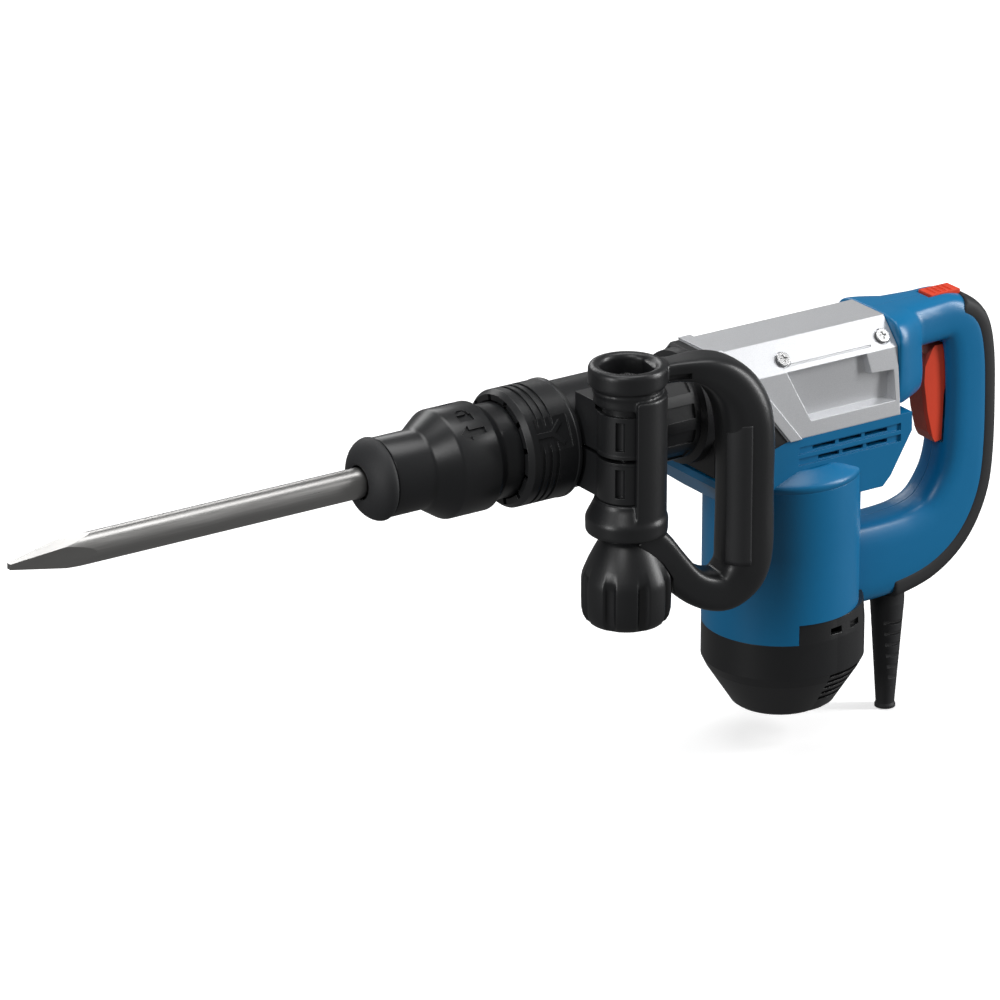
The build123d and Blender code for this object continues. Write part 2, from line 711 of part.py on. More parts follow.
cover_window = [(288, 18), (346, 18), (349, 5), (365.5, 4), (365.5, -13), (304, -13)]
window_front_x = 284.0
window_low_z = -17.0
window_floor_half = shoulder_half - 3.4
window_back_half = window_floor_half - 2.0
with BuildPart() as gear_cover:
    section_block(cover_front_x - 2, cover_rear_x)
    slab_y(60, (slant_x(above_z), above_z), (cover_rear_x, above_z), (cover_rear_x, waist_z),
           (slant_x(waist_z), waist_z), mode=Mode.INTERSECT)
    with BuildPart(mode=Mode.PRIVATE) as border:
        section_block(cover_front_x - 2, cover_rear_x, offset=-1.5)
        slab_y(60, (slant_x(above_z) + 1.2, above_z), (slant_x(above_z) + 10, above_z),
               (slant_x(waist_z) + 10, waist_z), (slant_x(waist_z) + 1.2, waist_z),
               mode=Mode.INTERSECT)
    add(border.part)
    for side in (-1, 1):
        with BuildSketch(Plane((0, side * window_floor_half, 0), x_dir=(1, 0, 0),
                               z_dir=(0, side, 0))) as recess:
            with BuildLine():
                Polyline(*[(x, -side * z) for x, z in cover_window], close=True)
            make_face()
        extrude(recess.sketch, amount=20, taper=-12, mode=Mode.SUBTRACT)
        seam_tilt = -side * screw_tilt
        with Locations(Location((320, side * 28.6, 22.6), (seam_tilt, 0, 0))):
            Box(64, 1.1, 2.4, mode=Mode.SUBTRACT)
    with BuildPart(mode=Mode.PRIVATE) as cavity:
        section_block(cover_front_x - 4, cover_rear_x - wall, offset=wall + 1.8)
        block((window_front_x, -waist_half, window_low_z), (cover_rear_x, -window_back_half, crown_z),
              mode=Mode.SUBTRACT)
        block((window_front_x, window_back_half, window_low_z), (cover_rear_x, waist_half, crown_z),
              mode=Mode.SUBTRACT)
    add(cavity.part, mode=Mode.SUBTRACT)
    for seat in screw_seats:
        with Locations(seat):
            Cylinder(5.2, 12.0, align=(Align.CENTER, Align.CENTER, Align.MIN),
                     mode=Mode.SUBTRACT)
            Cylinder(2.2 + seat_fit, 20.0, mode=Mode.SUBTRACT)

with BuildPart() as cover_screws:
    for seat in screw_seats:
        with Locations(seat):
            Cylinder(4.4, 3.0, align=(Align.CENTER, Align.CENTER, Align.MIN))
            Cylinder(2.2, 9.0, align=(Align.CENTER, Align.CENTER, Align.MAX))
            with Locations((0, 0, 3.0)):
                Box(5.0, 1.3, 2.4, mode=Mode.SUBTRACT)
                Box(1.3, 5.0, 2.4, mode=Mode.SUBTRACT)

with BuildPart() as motor_housing:
    belly = [
        (block_front_x - 1, belly_front_z), (block_front_x - 1, waist_line_z(block_front_x - 1)),
        (cover_low_x, waist_z), (housing_rear_x, waist_z), (housing_rear_x, -36),
        (housing_rear_x - 16, -62), (housing_rear_x - 22, -68), (motor_x, -68), (258, -68),
        (247, -60),
    ]
    section_block(block_front_x, block_rear_x)
    slab_y(60, *belly, mode=Mode.INTERSECT)
    turn_z(motor_x, 0, (0, motor_low_z), (motor_r, motor_low_z), (motor_r, motor_top_z - 6),
           (motor_r - 6, motor_top_z), (0, motor_top_z))
    tube_z(motor_x, 0, motor_low_z - 1, plate_low_z - 1, 0, motor_r - motor_wall,
           mode=Mode.SUBTRACT)
    slab_z(plate_low_z - 1.01, waist_z + 1, (crank_x - 32, -30.5), (motor_x + 45, -30.5),
           (motor_x + 45, 30.5), (crank_x - 32, 30.5), mode=Mode.SUBTRACT)
    block((cap_step_x, -60, motor_low_z - 1), (motor_x + 60, 60, cap_step_z), mode=Mode.SUBTRACT)
    for row_z, first in ((vent_row_z, 304.5), (vent_row_z - vent_row_step, 309.0)):
        for side in (-1, 1):
            with Locations((332, side * (waist_half + 0.4), row_z)):
                Box(77, 3.2, 4.6, mode=Mode.SUBTRACT)
        slot_length = (361.0 - first - 2 * vent_bridge) / 3
        for slot in range(3):
            slot_x = first + (slot_length + vent_bridge) * slot + slot_length / 2
            with Locations((slot_x, 0, row_z)):
                Box(slot_length, 100, 2.4, mode=Mode.SUBTRACT)

handle_outer = [
    (cover_rear_x, handle_top_z), (439, handle_top_z), (450, 31), (457, 20), (459, -5),
    (461, -50), (460, -80), (453.5, -108), (441, -128), (421, -143), (398, -154),
    (372, -156), (340, -156), (340, -97), (368, -103), (395, -103), (410, -98), (418, -88),
    (gap_right_x + 2, -70), (gap_right_x + 4.5, -45), (gap_right_x + 3.5, 0),
    (414, gap_top_z), (405, gap_top_z + 1.5), (block_rear_x, gap_top_z - 2),
    (block_rear_x, waist_z), (cover_rear_x, waist_z),
]


handle_screw_places = [(392, -14), (446, 18), (450, -66), (430, -122),
                       (motor_x + motor_r + 10.5, -143)]


def handle_body(mode=Mode.ADD):
    """Both handle shells as one form: the D of the handle and its wide root."""
    with BuildPart(mode=Mode.PRIVATE) as form:
        slab_y(handle_half, *handle_outer)
        rim = [e for e in form.edges() if abs(abs(e.center().Y) - handle_half) < 0.01]
        fillet(rim, handle_edge_r)
        with BuildPart(mode=Mode.PRIVATE) as root:
            section_block(cover_rear_x, block_rear_x + 14)
            slab_z(waist_z, 60, (cover_rear_x, -40), (cover_rear_x + 8, -40),
                   (block_rear_x + 8, -handle_half + 3), (block_rear_x + 8, handle_half - 3),
                   (cover_rear_x + 8, 40), (cover_rear_x, 40), mode=Mode.INTERSECT)
            block((block_rear_x, -50, -80), (block_rear_x + 30, 50, gap_top_z),
                  mode=Mode.SUBTRACT)
        add(root.part)
        tube_z(motor_x, 0, arm_low_z - 20, waist_z - 1, 0, motor_r + seat_fit,
               mode=Mode.SUBTRACT)
        tube_z(motor_x + cap_rear_shift, 0, arm_low_z - 20, cap_step_z + face_gap, 0,
               motor_r - 0.8 + seat_fit, mode=Mode.SUBTRACT)
    add(form.part, mode=mode)


def handle_shell(side):
    """One moulded half of the rear handle, hollowed for the switch and the trigger."""
    handle_body()
    low, high = sorted((0, side * 60))
    block((300, low, -200), (500, high, 60), mode=Mode.INTERSECT)
    block((404, -trigger_half - 0.5, -64), (446, trigger_half + 0.5, 5), mode=Mode.SUBTRACT)
    block((cover_rear_x + 4, -12, -16), (412, 12, 30), mode=Mode.SUBTRACT)
    block((slider_front_x - 6, -slider_half - 0.5, 31),
          (slider_front_x + slider_length + 1, slider_half + 0.5, 40), mode=Mode.SUBTRACT)
    block((410, -7, 12), (440, 7, 32), mode=Mode.SUBTRACT)
    block((376, -9, -140), (404, 9, -112), mode=Mode.SUBTRACT)
    tube_z(guard_x, 0, -160, -139, 0, 8.5, mode=Mode.SUBTRACT)
    tube_z(guard_x, 0, -153, -148, 0, 12, mode=Mode.SUBTRACT)
    for x, z in handle_screw_places:
        with Locations(Location((x, handle_half - 3.4, z), (-90, 0, 0))):
            Cylinder(3.7, 12, align=(Align.CENTER, Align.CENTER, Align.MIN),
                     mode=Mode.SUBTRACT)
            Cylinder(1.6 + seat_fit, 22, align=(Align.CENTER, Align.CENTER, Align.MAX),
                     mode=Mode.SUBTRACT)


with BuildPart() as handle_shell_left:
    handle_shell(-1)
with BuildPart() as handle_shell_right:
    handle_shell(1)


with BuildPart() as rear_grip_rubber:
    strip = [
        (444, handle_top_z + 1.4), (452, 33), (459, 22), (461.2, -5), (463.2, -50),
        (462.2, -80), (455.5, -109), (442.5, -129.5), (422, -144.8), (400, -155.2),
        (398, -153), (421, -141.5), (440.5, -126.8), (452.5, -107.5), (459, -80), (460, -50),
        (458, -5), (456, 20), (449, 30.6), (444, handle_top_z - 0.4),
    ]
    slab_y(handle_half - 5.0, *strip)
    handle_body(mode=Mode.SUBTRACT)

with BuildPart() as switch_module:
    block((430.5, -8, -50), (445.5, 8, -6))

with BuildPart() as trigger:
    slab_y(trigger_half, (416, 3), (411, -2), (407.4, -9), (407.0, -20), (410, -40),
           (413.5, -54), (418, -61), (423, -60), (424, -30), (428, -10), (430, -4), (428, 3))
    chamfer(trigger.edges().filter_by(Axis.Y, reverse=True).filter_by(
        lambda e: e.center().X < 413 and abs(e.center().Y) > trigger_half - 0.1), 1.6)
    with Locations(Location((trigger_pivot_x, 0, trigger_pivot_z), (90, 0, 0))):
        Cylinder(2.0 + run_fit, 40, mode=Mode.SUBTRACT)

with BuildPart() as trigger_pin:
    with Locations(Location((trigger_pivot_x, 0, trigger_pivot_z), (90, 0, 0))):
        Cylinder(2.0, 2 * trigger_half + 0.8)

with BuildPart() as trigger_spring:
    coil_spring(Plane((425.6, 0, -40), z_dir=(1, 0, 0)), 3.2, 0.5, 4.0, 3)

with BuildPart() as lock_on_slider:
    block((slider_front_x, -slider_half, 32),
          (slider_front_x + slider_length, slider_half, handle_top_z + 0.6))
    for ridge in range(4):
        with Locations((slider_front_x + 5 + 4 * ridge, 0, handle_top_z + 0.6)):
            Box(1.4, 2 * slider_half - 3, 1.2)

with BuildPart() as cable_guard:
    turn_z(guard_x, 0, (cord_r, guard_low_z), (6.6, guard_low_z), (6.6, guard_low_z + 1.5),
           (5.9, guard_low_z + 3), (10.75, -163), (10.75, -155.6), (8.1, -155.6),
           (8.1, -152.6), (11.5, -152.6), (11.5, -148.4), (8.1, -148.4), (8.1, -141),
           (cord_r, -141))
    for ring in range(7):
        rib_z = -176.0 - 7.5 * ring
        for side in (-1, 1):
            low, high = sorted((side * 6.6, side * 14))
            block((guard_x - 20, low, rib_z), (guard_x + 20, high, rib_z + 2.6),
                  mode=Mode.SUBTRACT)

with BuildPart() as handle_screws:
    for x, z in handle_screw_places:
        with Locations(Location((x, handle_half - 3.4, z), (-90, 0, 0))):
            Cylinder(3.4, 2.4, align=(Align.CENTER, Align.CENTER, Align.MIN))
            Cylinder(1.6, 21, align=(Align.CENTER, Align.CENTER, Align.MAX))
            with Locations((0, 0, 2.4)):
                Cylinder(1.6, 2.4, mode=Mode.SUBTRACT)

with BuildPart() as motor_cap:
    for shift, grow in ((0, 0), (cap_rear_shift, -0.8)):
        cap_r = motor_r + grow
        turn_z(motor_x + shift, 0, (0, cap_bottom_z), (cap_bottom_r - 2, cap_bottom_z),
               (cap_bottom_r, cap_bottom_z + 1.5), (cap_r - 3, cap_bevel_z - 6),
               (cap_r, cap_bevel_z), (cap_r, motor_low_z), (cap_r - 1, cap_step_z),
               (0, cap_step_z))
    block((motor_x - 60, -60, motor_low_z), (cap_step_x + face_gap, 60, cap_step_z + 1),
          mode=Mode.SUBTRACT)
    turn_z(motor_x, 0, (0, cap_bottom_z + wall), (cap_bottom_r - 4, cap_bottom_z + wall),
           (motor_r - 6.5, cap_bevel_z - 5), (motor_r - wall, cap_bevel_z),
           (motor_r - wall, cap_step_z + 1), (0, cap_step_z + 1), mode=Mode.SUBTRACT)
    tube_z(motor_x, 0, -196, cap_bottom_z + wall - 1, 13, 16)
    tube_z(motor_x, 0, -195, cap_bottom_z + wall - 1, 0, 13, mode=Mode.SUBTRACT)
    for side in (-1, 1):
        for vent in range(5):
            vent_z = -181.0 - 4.6 * vent
            low, high = sorted((side * 20, side * 60))
            block((motor_x + 4, low, vent_z), (motor_x + 30 - 1.5 * vent, high, vent_z + 2.4),
                  mode=Mode.SUBTRACT)
        for clip in range(2):
            low, high = sorted((side * (motor_r - 9), side * 60))
            block((motor_x + 4 + 17 * clip, low, -152), (motor_x + 13 + 17 * clip, high, -148),
                  mode=Mode.SUBTRACT)

# ---------------------------------------------------------------- clamp and side handle
swing = radians(handle_angle)
loop_plane = Plane((post_x, post_y, 0), x_dir=(cos(swing), sin(swing), 0),
                   z_dir=(sin(swing), -cos(swing), 0))


def loop_slab(half, *outline, mode=Mode.ADD):
    """A slab of an outline of (reach from the post, height) points in the handle's plane."""
    with BuildSketch(loop_plane) as side:
        with BuildLine():
            Polyline(*outline, close=True)
        make_face()
    extrude(side.sketch, amount=half, both=True, mode=mode)


def clamp_jaw(low, high):
    """One plastic jaw of the clamp: the boss around the bolt and its root at the band."""
    tube_z(post_x, post_y, low, high, 0, lug_r)
    block((band_front_x + 1, post_y, low), (band_rear_x - 1, -24, high))
    tube_x(band_front_x - 2, band_rear_x + 2, 0, band_r + 0.1, mode=Mode.SUBTRACT)
    tube_z(post_x, post_y, low - 1, high + 1, 0, clamp_bolt_r + 0.3, mode=Mode.SUBTRACT)


def lug_slots(low, high):
    """Upright grip slots in the round face of a jaw."""
    for turn in lug_slot_turns:
        angle = radians(turn)
        tube_z(post_x + lug_r * cos(angle), post_y + lug_r * sin(angle), low, high, 0,
               lug_slot_r, mode=Mode.SUBTRACT)


with BuildPart() as clamp_band:
    tube_x(band_front_x, band_rear_x, neck_seat_r + face_gap, band_r)
    block((band_front_x - 1, -50, lug_part_low_z), (band_rear_x + 1, -20, lug_part_high_z),
          mode=Mode.SUBTRACT)

with BuildPart() as clamp_jaw_upper:
    clamp_jaw(lug_part_high_z, lug_top_z)
    tube_z(post_x, post_y, lug_part_high_z, lug_part_high_z + 2.2, lug_r - 1, lug_r + lug_rim)
    tube_z(post_x, post_y, lug_top_z - lug_waist, lug_top_z, lug_r - lug_waist_depth, lug_r + 1,
           mode=Mode.SUBTRACT)
    lug_slots(lug_part_high_z + 5, lug_top_z - lug_waist - 3)

with BuildPart() as clamp_jaw_lower:
    clamp_jaw(lug_bottom_z, lug_part_low_z)
    tube_z(post_x, post_y, lug_part_low_z - 1.6, lug_part_low_z, lug_r - 1, lug_r + lug_rim)
    lug_slots(lug_bottom_z + 4, lug_part_low_z - 4)

with BuildPart() as clamp_bolt:
    tube_z(post_x, post_y, -88, head_low_z + 14, 0, clamp_bolt_r)
    with BuildSketch(Plane.XY.offset(head_low_z + 8.4)) as hex_head:
        with Locations((post_x, post_y)):
            RegularPolygon(9.0, 6)
    extrude(hex_head.sketch, amount=6.0)

with BuildPart() as side_handle:
    tube_z(post_x, post_y, head_low_z, head_low_z + 5, 0, head_r - 2.5)
    tube_z(post_x, post_y, head_low_z + 5, head_top_z, 0, head_r)
    chamfer(side_handle.edges().group_by(Axis.Z)[-1], 2.0)
    tube_z(post_x, post_y, foot_low_z, foot_high_z - 5, 0, head_r - 1.5)
    tube_z(post_x, post_y, foot_high_z - 5, foot_high_z, 0, lug_r + 0.4)
    reach = loop_reach
    loop_slab(loop_half, (8, head_low_z + 1), (8, head_top_z - 3), (reach + 6, grip_top_z + 2),
              (reach + 12, grip_top_z - 4), (reach + 4, 30), (reach - 12, 30),
              (reach - 20, head_low_z + 1))
    loop_slab(loop_half - 1, (8, foot_low_z + 1), (8, foot_high_z - 2), (30, foot_high_z - 2),
              (42, -58), (54, -72), (reach - 14, -74), (reach + 4, -80),
              (reach + 8, grip_bottom_z + 6), (reach - 6, grip_bottom_z),
              (reach - 18, grip_bottom_z), (knob_r + 4, foot_low_z - 20),
              (knob_r + 3, foot_low_z + 1))
    grip = loop_plane.from_local_coords(Vector(reach, 0, 0))
    turn_z(grip.X, grip.Y, (0, grip_bottom_z), (10, grip_bottom_z), (grip_r - 2, -92),
           (grip_r, -70), (grip_r - 0.6, -25), (grip_r, 20), (grip_r - 1, 42),
           (grip_r - 6, grip_top_z), (0, grip_top_z))
    loop_slab(9.5, (lug_r + 0.8, foot_high_z - 4), (lug_r + 0.8, head_low_z + 4),
              (head_r + 1.5, head_low_z + 4), (head_r + 1.5, foot_high_z - 4))
    tube_z(post_x, post_y, foot_high_z, head_low_z, 0, lug_r + 0.6, mode=Mode.SUBTRACT)
    tube_z(post_x, post_y, head_low_z + 8, head_top_z + 1, 0, 16.0, mode=Mode.SUBTRACT)
    tube_z(post_x, post_y, foot_low_z - 10, head_low_z + 9, 0, clamp_bolt_r + run_fit,
           mode=Mode.SUBTRACT)

with BuildPart() as handle_knob:
    turn_z(post_x, post_y, (0, knob_bottom_z), (knob_r - 7, knob_bottom_z),
           (knob_r - 1, knob_bottom_z + 7), (knob_r, knob_bottom_z + 9), (knob_r, -71),
           (knob_r - 2, -63), (knob_r - 6, -57), (12, knob_top_z),
           (12, foot_low_z - face_gap), (0, foot_low_z - face_gap))
    for turn in range(knob_flutes):
        angle = 2 * pi * turn / knob_flutes
        tube_z(post_x + (knob_r + 3.2) * cos(angle), post_y + (knob_r + 3.2) * sin(angle),
               knob_bottom_z - 1, -70, 0, 6.0, mode=Mode.SUBTRACT)
    tube_z(post_x, post_y, -90, foot_low_z, 0, clamp_bolt_r + 2.5, mode=Mode.SUBTRACT)

with BuildPart() as knob_insert:
    tube_z(post_x, post_y, -89, foot_low_z - face_gap, clamp_bolt_r + run_fit,
           clamp_bolt_r + 2.5 - seat_fit)

# ---------------------------------------------------------------- written files
pieces = {
    "pointed_chisel": pointed_chisel,
    "tool_holder": tool_holder,
    "locking_rollers": locking_rollers,
    "dust_cap": dust_cap,
    "locking_sleeve": locking_sleeve,
    "lock_ring": lock_ring,
    "sleeve_spring": sleeve_spring,
    "index_disc": index_disc,
    "vario_ring": vario_ring,
    "ring_spring": ring_spring,
    "impact_bolt": impact_bolt,
    "stop_washer": stop_washer,
    "holder_bearing": holder_bearing,
    "hammer_tube": hammer_tube,
    "striker": striker,
    "striker_o_ring": striker_o_ring,
    "piston": piston,
    "piston_o_ring": piston_o_ring,
    "wrist_pin": wrist_pin,
    "connecting_rod": connecting_rod,
    "crank_pin": crank_pin,
    "crank_gear": crank_gear,
    "crankshaft": crankshaft,
    "crank_bearing": crank_bearing,
    "armature_shaft": armature_shaft,
    "armature_core": armature_core,
    "armature_windings": armature_windings,
    "commutator": commutator,
    "cooling_fan": cooling_fan,
    "shaft_bearing_upper": shaft_bearing_upper,
    "shaft_bearing_lower": shaft_bearing_lower,
    "bearing_plate": bearing_plate,
    "stator_core": stator_core,
    "field_coils": field_coils,
    "brush_plate": brush_plate,
    "brush_holders": brush_holders,
    "carbon_brushes": carbon_brushes,
    "neck_housing": neck_housing,
    "gear_housing": gear_housing,
    "gear_cover": gear_cover,
    "cover_screws": cover_screws,
    "motor_housing": motor_housing,
    "motor_cap": motor_cap,
    "handle_shell_left": handle_shell_left,
    "handle_shell_right": handle_shell_right,
    "handle_screws": handle_screws,
    "rear_grip_rubber": rear_grip_rubber,
    "switch_module": switch_module,
    "trigger": trigger,
    "trigger_pin": trigger_pin,
    "trigger_spring": trigger_spring,
    "lock_on_slider": lock_on_slider,
    "cable_guard": cable_guard,
    "clamp_band": clamp_band,
    "clamp_jaw_upper": clamp_jaw_upper,
    "clamp_jaw_lower": clamp_jaw_lower,
    "clamp_bolt": clamp_bolt,
    "side_handle": side_handle,
    "handle_knob": handle_knob,
    "knob_insert": knob_insert,
}
for name, piece in pieces.items():
    piece.part.label = name
    export_step(piece.part, f"parts/{name}.step")
print(len(pieces), "pieces written")
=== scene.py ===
# %% [markdown]
# # A demolition hammer, finished in Blender
# The hammer's frame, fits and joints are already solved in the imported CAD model.  This
# lesson gives every part the finish of the real one and rebuilds the parts whose moulded
# or rubbery forms a CAD solid can only suggest.  Everything is in metres, in the CAD frame:
# the tool axis is X, the chisel points along -X and the side handle stands at -Y.

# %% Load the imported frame
import bpy
import bmesh
import json
from math import cos, pi, radians, sin
from mathutils import Matrix, Vector


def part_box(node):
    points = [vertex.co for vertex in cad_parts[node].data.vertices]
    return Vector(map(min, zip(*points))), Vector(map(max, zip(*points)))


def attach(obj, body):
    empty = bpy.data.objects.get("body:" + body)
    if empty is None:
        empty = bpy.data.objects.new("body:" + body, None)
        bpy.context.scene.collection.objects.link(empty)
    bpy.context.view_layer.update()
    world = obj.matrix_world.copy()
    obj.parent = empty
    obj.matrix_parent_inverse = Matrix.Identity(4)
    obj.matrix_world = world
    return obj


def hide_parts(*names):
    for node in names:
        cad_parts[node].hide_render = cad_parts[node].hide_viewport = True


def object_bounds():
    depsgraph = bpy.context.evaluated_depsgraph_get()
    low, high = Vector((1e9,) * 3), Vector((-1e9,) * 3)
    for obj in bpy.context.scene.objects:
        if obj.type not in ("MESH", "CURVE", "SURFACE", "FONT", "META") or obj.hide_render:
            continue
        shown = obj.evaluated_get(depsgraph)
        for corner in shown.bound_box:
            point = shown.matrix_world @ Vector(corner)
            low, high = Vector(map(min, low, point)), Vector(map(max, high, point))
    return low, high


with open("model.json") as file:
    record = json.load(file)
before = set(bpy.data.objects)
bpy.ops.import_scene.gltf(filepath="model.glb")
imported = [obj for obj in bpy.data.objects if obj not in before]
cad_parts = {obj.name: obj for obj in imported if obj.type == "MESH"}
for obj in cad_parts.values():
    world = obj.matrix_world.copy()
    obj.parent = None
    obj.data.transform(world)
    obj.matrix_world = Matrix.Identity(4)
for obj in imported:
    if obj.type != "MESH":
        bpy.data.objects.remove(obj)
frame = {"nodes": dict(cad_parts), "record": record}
cad_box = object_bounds()
nodes = frame["nodes"]
print("parts loaded:", len(nodes))


# %% [markdown]
# ## Shader arithmetic
# A procedural finish is mostly sums and products of noise.  Written as node clicks that is
# hard to read, so a small class wraps a socket and turns Python's operators into Math
# nodes.  Any other node comes from one method of a small graph class.

# %% A socket that understands arithmetic
class Wire:
    """A node's output that can be used in an expression."""

    def __init__(self, graph, socket):
        self.graph = graph
        self.socket = socket

    def math(self, operation, first, second):
        return self.graph.add("ShaderNodeMath", {"operation": operation}, {0: first, 1: second})

    def __add__(self, other):
        return self.math("ADD", self, other)

    __radd__ = __add__

    def __sub__(self, other):
        return self.math("SUBTRACT", self, other)

    def __mul__(self, other):
        return self.math("MULTIPLY", self, other)

    __rmul__ = __mul__


class Graph:
    """The node tree of one material."""

    def __init__(self, name):
        self.material = bpy.data.materials.new(name)
        self.material.use_nodes = True
        self.tree = self.material.node_tree
        self.shader = self.tree.nodes["Principled BSDF"]

    def add(self, kind, settings=None, inputs=None, output=0):
        """Adds a node: its settings first, then the values or links of its sockets."""
        node = self.tree.nodes.new(kind)
        for name, value in (settings or {}).items():
            setattr(node, name, value)
        for name, value in (inputs or {}).items():
            self.join(node.inputs[name], value)
        return Wire(self, node.outputs[output])

    def join(self, socket, value):
        """Links a wire to a socket, or sets the socket's own value."""
        if isinstance(value, Wire):
            self.tree.links.new(value.socket, socket)
        elif socket.type == "RGBA" and len(value) == 3:
            socket.default_value = (*value, 1.0)
        else:
            socket.default_value = value

    def finish(self, **sockets):
        """Feeds the Principled shader, whose sockets are named with underscores."""
        for name, value in sockets.items():
            self.join(self.shader.inputs[name.replace("_", " ")], value)
        return self.material

    def place(self, stretch=(1.0, 1.0, 1.0)):
        """Object coordinates, stretched where a grain runs along the part."""
        spot = self.add("ShaderNodeTexCoord", output="Object")
        return self.add("ShaderNodeMapping", {}, {"Vector": spot, "Scale": stretch})

    def noise(self, scale, detail=2.0, stretch=(1.0, 1.0, 1.0)):
        return self.add("ShaderNodeTexNoise", {}, {"Vector": self.place(stretch), "Scale": scale,
                                                   "Detail": detail})

    def mix(self, factor, first, second):
        """Blends two colours.  The Mix node's colour sockets are numbers 6 and 7."""
        return self.add("ShaderNodeMix", {"data_type": "RGBA"}, {0: factor, 6: first, 7: second},
                        output=2)

    def soft_edges(self, radius):
        """The normal of the surface with its sharp edges broken by a small radius."""
        return self.add("ShaderNodeBevel", {"samples": 6}, {"Radius": radius})

    def bump(self, height, distance, strength, normal):
        """The normal tilted by a height, at most by the distance."""
        return self.add("ShaderNodeBump", {}, {"Height": height, "Distance": distance,
                                               "Strength": strength, "Normal": normal})


# %% [markdown]
# ## Moulded plastics
# A mould's cavity is spark eroded, which leaves a fine pebbled skin on the plastic.  The
# pebbles are far too small to model, so they are bump; handling polishes the skin a little
# in broad patches, which shows as roughness that drifts across the part.

# %% Plastics
def moulded(name, colour, roughness, grain=0.00006, grain_scale=1500.0, edge=0.0005):
    """Plastic from a spark-eroded mould, in one colour."""
    graph = Graph(name)
    pebbles = graph.noise(grain_scale, detail=3.0)
    handling = graph.noise(14.0, detail=3.0)
    dust = graph.noise(160.0, detail=4.0)
    lighter = tuple(min(1.0, c * 1.18 + 0.003) for c in colour)
    skin = graph.mix(handling * 0.6 + dust * 0.3, colour, lighter)
    rough = roughness + handling * 0.10 + pebbles * 0.08 - 0.09
    normal = graph.bump(pebbles, grain, 0.55, graph.soft_edges(edge))
    return graph.finish(Base_Color=skin, Roughness=rough, Normal=normal)


black_plastic = moulded("black_plastic", (0.0105, 0.0110, 0.0120), 0.36)
gloss_black = moulded("gloss_black_plastic", (0.0085, 0.0090, 0.0100), 0.33, grain=0.00001)
blue_plastic = moulded("blue_plastic", (0.0004, 0.150, 0.340), 0.33, grain=0.00003)
red_plastic = moulded("red_plastic", (0.72, 0.055, 0.018), 0.38, grain=0.00002)
rubber = moulded("rubber", (0.0130, 0.0135, 0.0150), 0.62, grain=0.00010, grain_scale=900.0)


# %% [markdown]
# ## Metals
# The chisel is ground along its length, so its scratches are long and thin: the noise is
# squeezed along X.  The gear cover is a light alloy casting under silver paint, with flakes
# that tilt each a little differently.

# %% Metals
def ground_steel(name, colour, roughness, stretch, scale=900.0):
    """Steel with a directional grinding pattern."""
    graph = Graph(name)
    scratches = graph.noise(scale, detail=4.0, stretch=stretch)
    patches = graph.noise(22.0, detail=5.0)
    darker = tuple(c * 0.72 for c in colour)
    skin = graph.mix(patches * 0.9, colour, darker)
    rough = roughness + scratches * 0.16 + patches * 0.12 - 0.12
    normal = graph.bump(scratches, 0.00003, 0.5, graph.soft_edges(0.0003))
    return graph.finish(Base_Color=skin, Metallic=1.0, Roughness=rough, Normal=normal)


def silver_paint(name):
    """Silver lacquer over a casting."""
    graph = Graph(name)
    flakes = graph.add("ShaderNodeTexVoronoi", {}, {"Vector": graph.place(), "Scale": 3500.0},
                       output="Color")
    flake_tone = graph.add("ShaderNodeRGBToBW", {}, {"Color": flakes})
    orange_peel = graph.noise(420.0, detail=2.0)
    skin = graph.mix(flake_tone * 0.8, (0.62, 0.63, 0.65), (0.76, 0.77, 0.79))
    rough = 0.34 + flake_tone * 0.08
    normal = graph.bump(orange_peel, 0.00004, 0.35, graph.soft_edges(0.0008))
    return graph.finish(Base_Color=skin, Metallic=0.55, Roughness=rough, Normal=normal)


chisel_steel = ground_steel("chisel_steel", (0.47, 0.465, 0.455), 0.30, (0.03, 1.0, 1.0))
machined_steel = ground_steel("machined_steel", (0.56, 0.56, 0.56), 0.26, (1.0, 1.0, 0.2))
cast_alloy = ground_steel("cast_alloy", (0.62, 0.62, 0.63), 0.45, (1.0, 1.0, 1.0), 300.0)
brass = ground_steel("brass", (0.78, 0.56, 0.24), 0.28, (1.0, 1.0, 0.1))
copper = ground_steel("copper_wire", (0.72, 0.30, 0.14), 0.30, (1.0, 1.0, 0.02), 1200.0)
iron = ground_steel("iron_laminations", (0.24, 0.24, 0.25), 0.42, (0.05, 0.05, 1.0), 2500.0)
carbon = moulded("carbon", (0.012, 0.012, 0.012), 0.60)
silver_cover = silver_paint("silver_cover_paint")

# %% [markdown]
# ## Finishes on the CAD parts
# Parts whose CAD form is already the real form keep their mesh and only receive a finish.
# The record names a material slot for each part, and most finishes follow that slot.

# %% Give every part its finish
slot_finish = {
    "chisel_steel": chisel_steel,
    "bright_steel": machined_steel,
    "brass": brass,
    "copper": copper,
    "iron_laminations": iron,
    "carbon": carbon,
    "light_alloy": cast_alloy,
    "silver_cover": silver_cover,
    "rubber_black": rubber,
    "black_plastic": black_plastic,
    "band_steel": gloss_black,
    "blue_plastic": blue_plastic,
    "red_plastic": red_plastic,
}
part_slot = {part["node"]: part["material_slot"] for part in frame["record"]["subparts"]}
for name, part in nodes.items():
    part.data.materials.clear()
    part.data.materials.append(slot_finish[part_slot[name]])
print("finished CAD parts:", len(nodes))


# %% [markdown]
# ## Tools for moulded forms
# A moulded handle is a set of simple forms that run into each other with soft, generous
# radii.  Three steps give that.  A ring of edges is extruded through a few stations, which
# makes each limb.  The limbs, still separate and overlapping, are fused by a voxel remesh.
# A few rounds of smoothing then melt the creases into the fillets that a mould has.

# %% Limbs, turned forms and fusing
MM = 0.001


